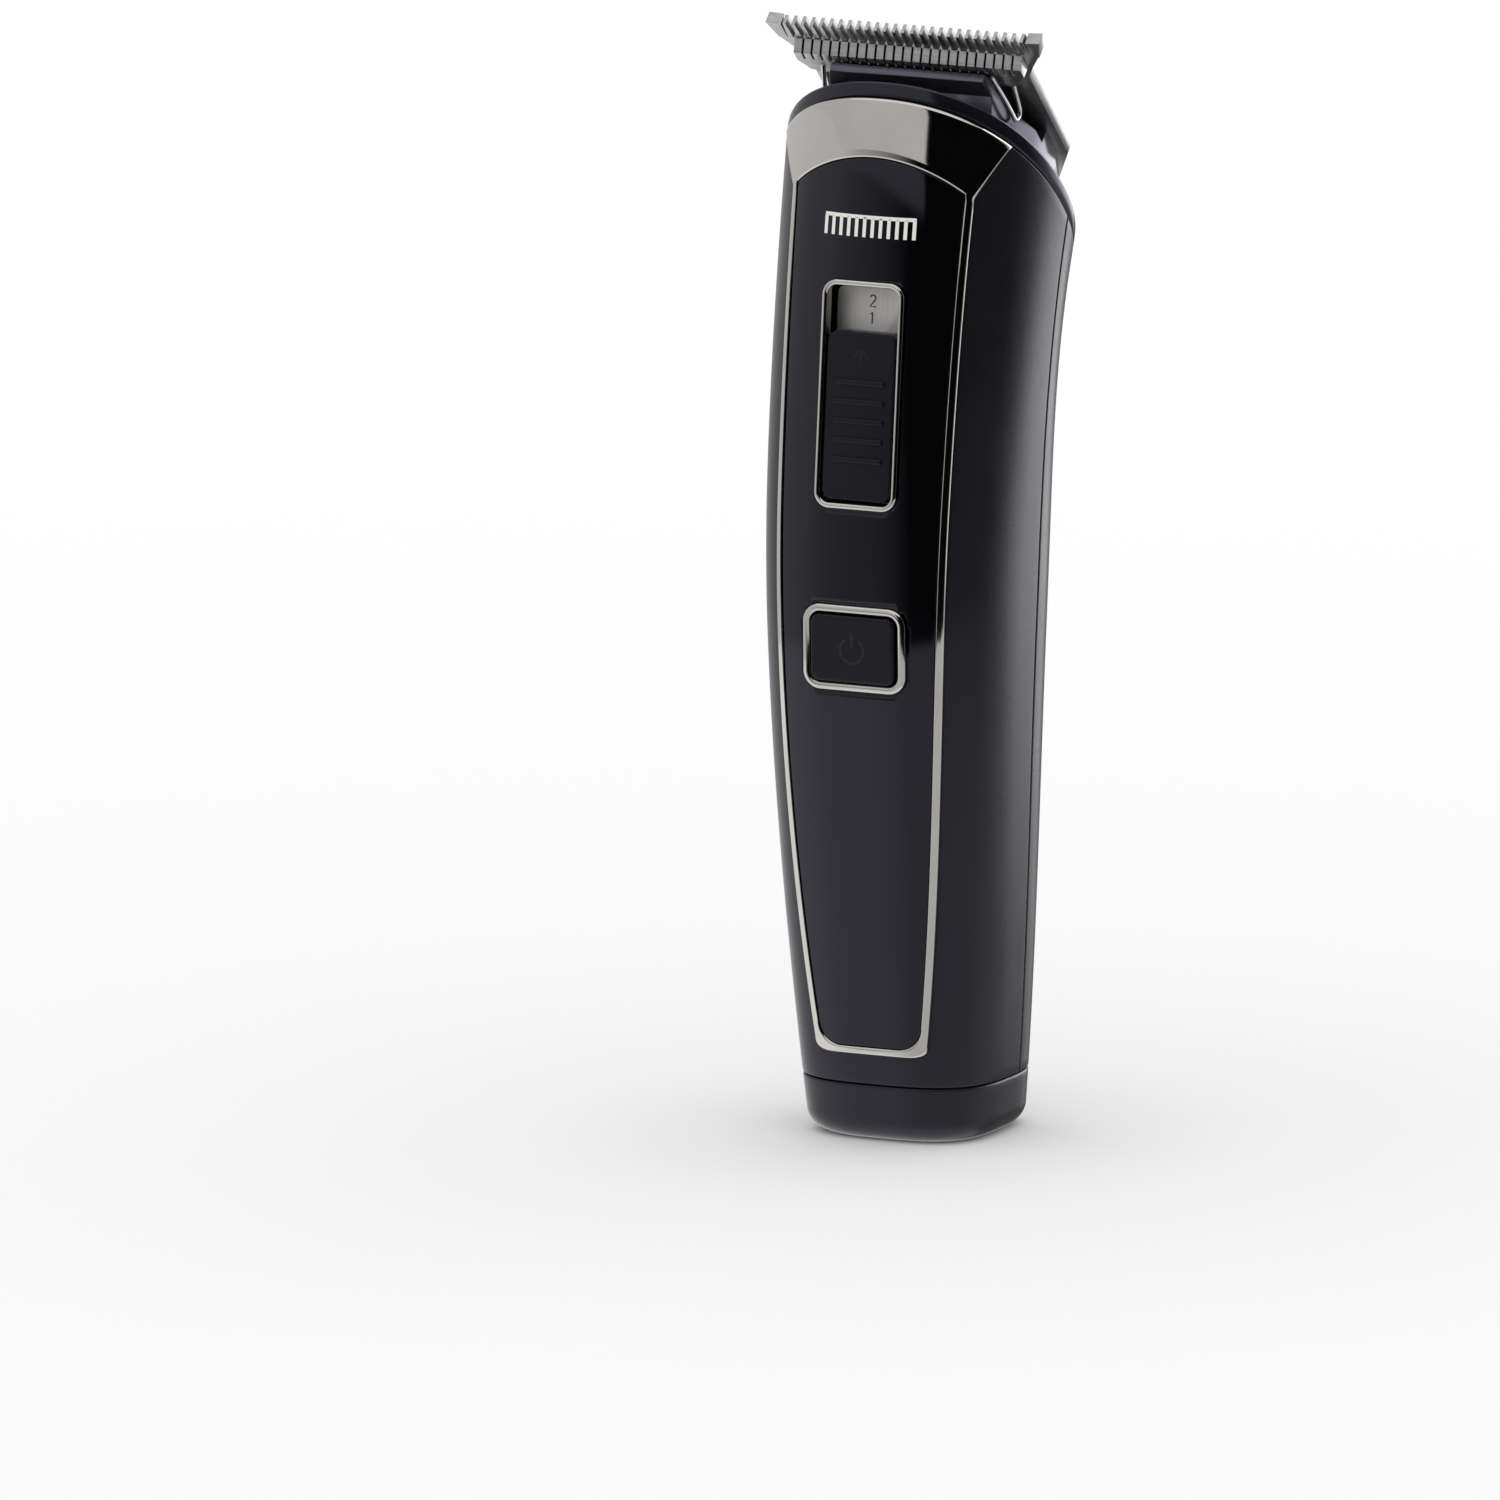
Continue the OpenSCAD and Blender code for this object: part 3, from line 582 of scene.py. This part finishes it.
# ---------------------------------------------------------------- slider and button
SLIDER_Z = 104.5
WINDOW_W = 10.7
RING_W = WINDOW_W + 1.6
RING_L = 31.3
RING_R = 2.2
SLIDER_W = WINDOW_W - 0.4
SLIDER_L = 23.1
SLIDER_LOW = -14.45
PLATE_IN = 2.3
BUTTON_Z = 69.8
BUTTON_W = 12.4
BUTTON_L = 9.2
BEZEL_W = 15.4
BEZEL_L = 12.0
BEZEL_R = 2.6
PAD_FACE = 0.85
RIB_COUNT, RIB_FIRST, RIB_STEP = 5, 5.6, 2.65
BUTTON_FACE = 1.6
PRINT_LIFT = 0.02


def surface_place(z, length):
    y0, y1 = front_y(0, z - length / 2), front_y(0, z + length / 2)
    return Place((0, float(front_y(0, z)), z), math.atan2(float(y1 - y0), length))


def ring_profile(width, low, high, r=0.28):
    """Closed (inset, height) profile of a trim ring with two rounded front edges."""
    turn = np.linspace(0, math.pi / 2, 6)
    front = [(r * (1 - math.cos(t)), high - r + r * math.sin(t)) for t in turn]
    back = [(width - r + r * math.sin(t), high - r + r * math.cos(t)) for t in turn]
    return front + back + [(width, low), (0, low)]


def fill_profile(low, high, r):
    turn = np.linspace(0, math.pi / 2, 7)
    return [(0, low)] + [(r * (1 - math.cos(t)), high - r + r * math.sin(t)) for t in turn]


def printed_line(name, place, paths, width, lift=0.03, depth=0.05):
    """Printed or moulded strokes: flat ribbons along each path, just proud of the surface."""
    bm = bmesh.new()
    for path in paths:
        p = np.array(path, float)
        step = np.gradient(p, axis=0)
        step /= np.linalg.norm(step, axis=1)[:, None] + 1e-12
        side = np.stack([-step[:, 1], step[:, 0]], 1) * width / 2
        ends = np.stack([p + side, p - side], 1)
        top = [[bm.verts.new(v * MM) for v in place(e[:, 0], e[:, 1], lift)] for e in ends]
        low = [[bm.verts.new(v * MM) for v in place(e[:, 0], e[:, 1], lift - depth)] for e in ends]
        for i in range(len(p) - 1):
            bm.faces.new((top[i][0], top[i][1], top[i + 1][1], top[i + 1][0]))
            bm.faces.new((low[i][1], low[i][0], low[i + 1][0], low[i + 1][1]))
            bm.faces.new((low[i][0], top[i][0], top[i + 1][0], low[i + 1][0]))
            bm.faces.new((top[i][1], low[i][1], low[i + 1][1], top[i + 1][1]))
        for i in (0, len(p) - 1):
            bm.faces.new((top[i][0], low[i][0], low[i][1], top[i][1]))
    bmesh.ops.recalc_face_normals(bm, faces=bm.faces)
    mesh = bpy.data.meshes.new(name)
    bm.to_mesh(mesh)
    bm.free()
    obj = bpy.data.objects.new(name, mesh)
    bpy.context.scene.collection.objects.link(obj)
    return obj


def arc(cx, cy, r, start, end, steps=24):
    return [(cx + r * math.cos(math.radians(a)), cy + r * math.sin(math.radians(a)))
            for a in np.linspace(start, end, steps)]


def join(name, parts):
    """One object made of several closed ones."""
    bm = bmesh.new()
    for part in parts:
        bm.from_mesh(part.data)
        bpy.data.objects.remove(part)
    mesh = bpy.data.meshes.new(name)
    bm.to_mesh(mesh)
    bm.free()
    obj = bpy.data.objects.new(name, mesh)
    bpy.context.scene.collection.objects.link(obj)
    mesh.polygons.foreach_set("use_smooth", [True] * len(mesh.polygons))
    return obj


def slider_pieces(place):
    ring = profile_ring("slider_trim_ring", place, rounded_loop(RING_W, RING_L, RING_R),
                        ring_profile(0.8, -3.2, 1.2, 0.38))
    finish_piece(ring, "handset", "bright_trim", "slider_ring")

    mid = SLIDER_LOW + SLIDER_L / 2
    loop = rounded_loop(SLIDER_W, SLIDER_L, 1.5) + (0, mid)
    parts = [pad_object("pad", place, loop, fill_profile(-2.15, PAD_FACE, 0.3))]
    for i in range(RIB_COUNT):
        rib = rounded_loop(SLIDER_W - 2.8, 0.8, 0.35) + (0, SLIDER_LOW + RIB_FIRST + RIB_STEP * i)
        parts.append(pad_object("rib", place, rib, fill_profile(PAD_FACE - 0.1, PAD_FACE + 0.35, 0.25)))
    stem = np.array([(-1.3, -8), (1.3, -8), (1.3, -4), (-1.3, -4)])
    parts.append(block("stem", place, stem, -4.9, -1.8))
    finish_piece(join("slider_thumb_pad", parts), "slider", "slider_black", "length_slider")

    top = SLIDER_LOW + SLIDER_L - 3
    strokes = [[(-1.3, top - 0.7), (0, top + 0.8), (1.3, top - 0.7)], [(0, top + 0.8), (0, top - 1.6)]]
    arrow = printed_line("slider_arrow_mark", place, strokes, 0.28, PAD_FACE + PRINT_LIFT)
    finish_piece(arrow, "slider", "rim_black")

    def numeral_two(cx, cy, s):
        foot = [(cx - 0.5 * s, cy - 0.9 * s), (cx + 0.55 * s, cy - 0.9 * s)]
        return [arc(cx, cy + 0.55 * s, 0.5 * s, 165, -30, 14) + foot]

    def numeral_one(cx, cy, s):
        return [[(cx - 0.35 * s, cy + 0.7 * s), (cx, cy + s), (cx, cy - 0.95 * s)]]

    marks = numeral_two(0, 12.7, 0.8) + numeral_one(0, 10.4, 0.8)
    numerals = printed_line("setting_numerals", place, marks, 0.22, -PLATE_IN + PRINT_LIFT)
    finish_piece(numerals, "handset", "inner_grey")


def button_pieces(place):
    profile = ring_profile(1.3, -2, 1.25, 0.6)
    ring = profile_ring("button_trim_ring", place, rounded_loop(BEZEL_W, BEZEL_L, BEZEL_R), profile)
    finish_piece(ring, "handset", "bright_trim", "button_ring")

    loop = rounded_loop(BUTTON_W, BUTTON_L, 1.2)
    rings = fill_profile(-2.2, BUTTON_FACE, 0.3) + [(k, BUTTON_FACE) for k in (0.6, 1.1, 1.7, 2.4, 3.2, 4.0)]
    cap = pad_object("cap", place, loop, rings)
    turn = np.linspace(0, 2 * math.pi, 48, endpoint=False)
    boss = block("boss", place, np.array([(2.6 * math.cos(t), 2.6 * math.sin(t)) for t in turn]), -3.4, -2.1)
    finish_piece(join("power_button_cap", [cap, boss]), "button", "slider_black", "power_button")
    strokes = [arc(0, -0.1, 1.75, 125, 415), [(0, 0.35), (0, 2.3)]]
    symbol = printed_line("power_symbol", place, strokes, 0.34, BUTTON_FACE + PRINT_LIFT)
    finish_piece(symbol, "button", "rim_black")


COMB_Z = 127.6
COMB_HALF_W = 6.8
COMB_TEETH = 12


def comb_print():
    """Small generic comb printed on the panel above the slider."""
    def on_panel(x, u, d):
        x, z = np.asarray(x, float), COMB_Z + np.asarray(u, float)
        return np.stack([x, front_y(x, z) - PANEL_RISE - d, z + 0 * x], -1)

    paths = [[(x, 1.1) for x in np.linspace(-COMB_HALF_W, COMB_HALF_W, 24)]]
    for x in np.linspace(0.2 - COMB_HALF_W, COMB_HALF_W - 0.2, COMB_TEETH):
        paths.append([(x, 1.1), (x, 0.2), (x, -0.7), (x, -1.6)])
    finish_piece(printed_line("comb_print", on_panel, paths, 0.5, PRINT_LIFT), "handset", "nylon")


# ---------------------------------------------------------------- head
class RimPlace:
    """The head's frame on the slanted rim: x across, y down the slope, n out of it."""

    def __init__(self):
        self.origin = np.array([0, float(mid_y(SPINE_H)), SPINE_H])
        c = math.sqrt(0.5)
        self.back = np.array([0, c, -c])
        self.out = np.array([0, c, c])

    def __call__(self, x, y, n):
        x, y, n = np.broadcast_arrays(*(np.asarray(v, float) for v in (x, y, n)))
        return (self.origin + x[..., None] * np.array([1.0, 0, 0]) + y[..., None] * self.back
                + n[..., None] * self.out)


def wire(name, points, radius):
    """Round wire along a smooth curve."""
    curve = bpy.data.curves.new(name, "CURVE")
    curve.dimensions = "3D"
    curve.bevel_depth = radius * MM
    curve.bevel_resolution = 4
    curve.use_fill_caps = True
    spline = curve.splines.new("NURBS")
    spline.points.add(len(points) - 1)
    for p, v in zip(spline.points, points):
        p.co = (*(float(c) * MM for c in v), 1)
    spline.order_u = 3
    spline.use_endpoint_u = True
    spline.resolution_u = 8
    mesh_source = bpy.data.objects.new(name + "_curve", curve)
    bpy.context.scene.collection.objects.link(mesh_source)
    mesh = bpy.data.meshes.new_from_object(mesh_source.evaluated_get(bpy.context.evaluated_depsgraph_get()))
    bpy.data.objects.remove(mesh_source)
    obj = bpy.data.objects.new(name, mesh)
    bpy.context.scene.collection.objects.link(obj)
    mesh.polygons.foreach_set("use_smooth", [True] * len(mesh.polygons))
    return obj


def head_wire():
    at = RimPlace()
    wires = []
    for s in (-1, 1):
        pts = [(s * 12.7, -16.6, 5.4), (s * 13.2, -14.2, 4.95), (s * 13.8, -11.6, 4.4), (s * 14.1, -9.8, 4.0),
               (s * 14.1, -8.6, 4.0), (s * 14.1, -8.1, 5.0), (s * 14.1, -8.7, 5.9), (s * 14.1, -10.2, 6.35),
               (s * 14.1, -12.6, 7.1)]
        wires.append(wire("wire", [at(*p) for p in pts], 0.33))
    finish_piece(join("blade_spring_wire", wires), "head", "spring_steel", "blade_spring")


# ---------------------------------------------------------------- pieces
slider_place = surface_place(SLIDER_Z, RING_L)
button_place = surface_place(BUTTON_Z, BEZEL_L)

front = shell("front_shell_moulding", -SEAM_ANGLE - 180 + SEAM_GAP, SEAM_ANGLE - SEAM_GAP, 90, "front_shell")
cut(front, block("hole", slider_place,
                 rounded_loop(RING_W + SHELL_FIT, RING_L + SHELL_FIT, RING_R), -5, 5))
cut(front, block("hole", button_place,
                 rounded_loop(BEZEL_W + SHELL_FIT, BEZEL_L + SHELL_FIT, BEZEL_R), -5, 5))
shell("rear_shell_moulding", SEAM_ANGLE + SEAM_GAP, 180 - SEAM_ANGLE - SEAM_GAP, 80, "rear_shell")
base_cap()
collar()
front_panel(slider_place, button_place)
bright_frame()
slider_pieces(slider_place)
button_pieces(button_place)
comb_print()
head_wire()

REPLACED = {"front_shell", "rear_shell", "base_cap", "collar_ring", "front_panel", "chrome_bezel",
            "slider_ring", "length_slider", "button_ring", "power_button", "blade_spring"}
SLOT_OF = {part["node"]: part["material_slot"] for part in frame["record"]["subparts"]}
EDGE = {"head_housing": 0.45, "fixed_blade": 0.1, "moving_blade": 0.06, "setting_plate": 0.06,
        "head_base": 0.2, "top_deck": 0.2, "blade_screws": 0.15, "base_screws": 0.15, "bracket_screws": 0.12,
        "push_rod": 0.15, "detent_spring": 0.05, "battery_tab_top": 0.05, "battery_tab_base": 0.05,
        "charge_contacts": 0.2}

HOUSING = plastic("gloss_housing", (0.011, 0.011, 0.014), (0.016, 0.016, 0.02), (0.17, 0.23), 2600, 0.002,
                  1.95, BLACK_TINT)

for node_name, obj in frame["nodes"].items():
    if node_name in REPLACED:
        continue
    weld = obj.modifiers.new("weld", "WELD")
    weld.merge_threshold = 1e-6
    bevel(obj, EDGE.get(node_name, 0.25))
    obj.data.materials.clear()
    obj.data.materials.append(HOUSING if node_name == "head_housing" else MATERIALS[SLOT_OF[node_name]])


# ---------------------------------------------------------------- studio and camera
def emission_world(colour, strength):
    world = bpy.data.worlds.new("studio")
    world.use_nodes = True
    back = world.node_tree.nodes["Background"]
    back.inputs["Color"].default_value = (*colour, 1)
    back.inputs["Strength"].default_value = strength
    bpy.context.scene.world = world


def studio_floor():
    turn = np.linspace(0, 2 * math.pi, 64, endpoint=False)
    verts = [(FLOOR_RADIUS * math.cos(t), FLOOR_RADIUS * math.sin(t), 0) for t in turn]
    floor = new_object("studio_floor", verts, [tuple(range(64))], smooth=False)
    mat, tree, shader, coord = tree_of("studio_floor_painted_falloff")
    gradient = tree.nodes.new("ShaderNodeTexGradient")
    gradient.gradient_type = "SPHERICAL"
    mapping = tree.nodes.new("ShaderNodeMapping")
    mapping.inputs["Scale"].default_value = (0.9, 0.9, 0.9)
    tree.links.new(coord.outputs["Object"], mapping.inputs["Vector"])
    tree.links.new(mapping.outputs["Vector"], gradient.inputs["Vector"])
    # Painted light: the floor colour is 0.9 grey within about 11 cm of the object and runs up to full white a
    # metre out, so the far floor reads brighter as if lit more strongly.
    vary_colour(tree, shader, gradient, (1.0, 1.0, 1.0), (0.9, 0.9, 0.9), 0.1, 0.9)
    shader.inputs["Roughness"].default_value = 0.9
    floor.data.materials.append(mat)
    floor.visible_glossy = False


# Dark cards and one glowing card that only reflections see: painted dark reflections (painted shade) and a
# painted rim highlight.
# name, (azimuth, cover) stops in degrees, radius, low, high, glow; the order is the order they are made in
CARDS = (
    ("studio_flag", ((-180, 0.32), (-45, 0.32), (-26, 0.6), (-18, 0.72), (-3, 0.98), (2, 1.0), (100, 1.0),
                     (135, 0.0)), 2200, -420, 450),
    ("studio_high_flag", ((-180, 0.36), (8, 0.36), (10, 1.0), (100, 1.0), (135, 0.0)), 2200, 450, 2600),
    ("studio_floor_shade", ((-44, 0.0), (-25, 0.2), (-4, 0.4), (90, 0.4), (150, 0.25), (170, 0.0)),
     2300, -2500, -400),
    ("studio_back_shade_right", ((120, 0.0), (150, 0.8), (180, 0.8)), 2350, -2500, -560),
    ("studio_back_shade_left", ((-180, 0.85), (-168, 0.85), (-158, 0.0)), 2350, -2500, -330),
    ("studio_rim_light", ((125, 0.0), (150, 1.0), (172, 1.0), (178, 0.0)), 2100, -350, 2300, 1.7),
)
REFLECTED_SHADE_BLACK = 0.003
FLOOR_RADIUS = 4000
LENS, SENSOR = 864, 36
VIEW_AZIMUTH, VIEW_ELEVATION = 25.5, 10.87
VIEW_DISTANCE, VIEW_RIGHT, VIEW_DOWN = 4.931, 0.02247, 0.05151


def round_card(name, stops, radius, low, high, glow=0.0):
    """Curved card round the object, seen only in reflections: a painted dark reflection (painted shade), and
    with glow a painted highlight; stops are (azimuth, cover), blended between.
    """
    angles = np.radians(np.linspace(stops[0][0], stops[-1][0], 60))
    rows = np.array([[(radius * math.sin(t), -radius * math.cos(t), z) for t in angles] for z in (low, high)])
    card = grid_object(name, rows)
    mat, tree, shader, coord = tree_of(name + "_painted_reflection")
    card_mottle = noise(tree, coord, 80, 3)
    # Painted shade: the card's near-black colour, blended in by cover, darkens what the glossy parts reflect.
    shade = (glow or REFLECTED_SHADE_BLACK,) * 3
    vary_colour(tree, shader, card_mottle, shade, tuple(1.05 * c for c in shade))
    turn = tree.nodes.new("ShaderNodeTexGradient")
    turn.gradient_type = "RADIAL"
    face_front = tree.nodes.new("ShaderNodeMapping")
    face_front.inputs["Rotation"].default_value = (0, 0, math.radians(90))
    tree.links.new(coord.outputs["Object"], face_front.inputs["Vector"])
    tree.links.new(face_front.outputs["Vector"], turn.inputs["Vector"])
    cover = tree.nodes.new("ShaderNodeValToRGB")
    ramp = cover.color_ramp
    while len(ramp.elements) < len(stops):
        ramp.elements.new(0.5)
    for element, (azimuth, value) in zip(ramp.elements, stops):
        element.position = azimuth / 360 + 0.5
        element.color = (value, value, value, 1)
    tree.links.new(turn.outputs["Fac"], cover.inputs["Fac"])
    tree.links.new(cover.outputs["Color"], shader.inputs["Alpha"])
    # Painted highlight: with glow the card shines, but only reflections see it.
    if glow:
        tree.links.new(shader.inputs["Base Color"].links[0].from_socket, shader.inputs["Emission Color"])
        shader.inputs["Emission Strength"].default_value = 1.0
    shader.inputs["Roughness"].default_value = 1.0
    shader.inputs["Specular IOR Level"].default_value = 0.0
    card.data.materials.append(mat)
    card.visible_camera = False
    card.visible_diffuse = False
    card.visible_shadow = False


def studio_camera():
    azimuth, elevation = math.radians(VIEW_AZIMUTH), math.radians(VIEW_ELEVATION)
    r = Vector((math.cos(azimuth), math.sin(azimuth), 0))
    b = Vector((math.sin(azimuth) * math.cos(elevation), -math.cos(azimuth) * math.cos(elevation),
                math.sin(elevation)))
    u = b.cross(r)
    data = bpy.data.cameras.new("camera")
    data.lens = LENS
    data.sensor_width = SENSOR
    data.clip_start, data.clip_end = 0.05, 20
    camera = bpy.data.objects.new("camera", data)
    camera.location = b * VIEW_DISTANCE - r * VIEW_RIGHT + u * VIEW_DOWN
    camera.rotation_mode = "QUATERNION"
    camera.rotation_quaternion = (-b).to_track_quat("-Z", "Y")
    bpy.context.scene.collection.objects.link(camera)
    bpy.context.scene.camera = camera


emission_world((1.0, 1.0, 1.0), 1.07)
studio_floor()
for card in CARDS:
    round_card(*card)
studio_camera()
bpy.context.scene.view_settings.view_transform = "Standard"
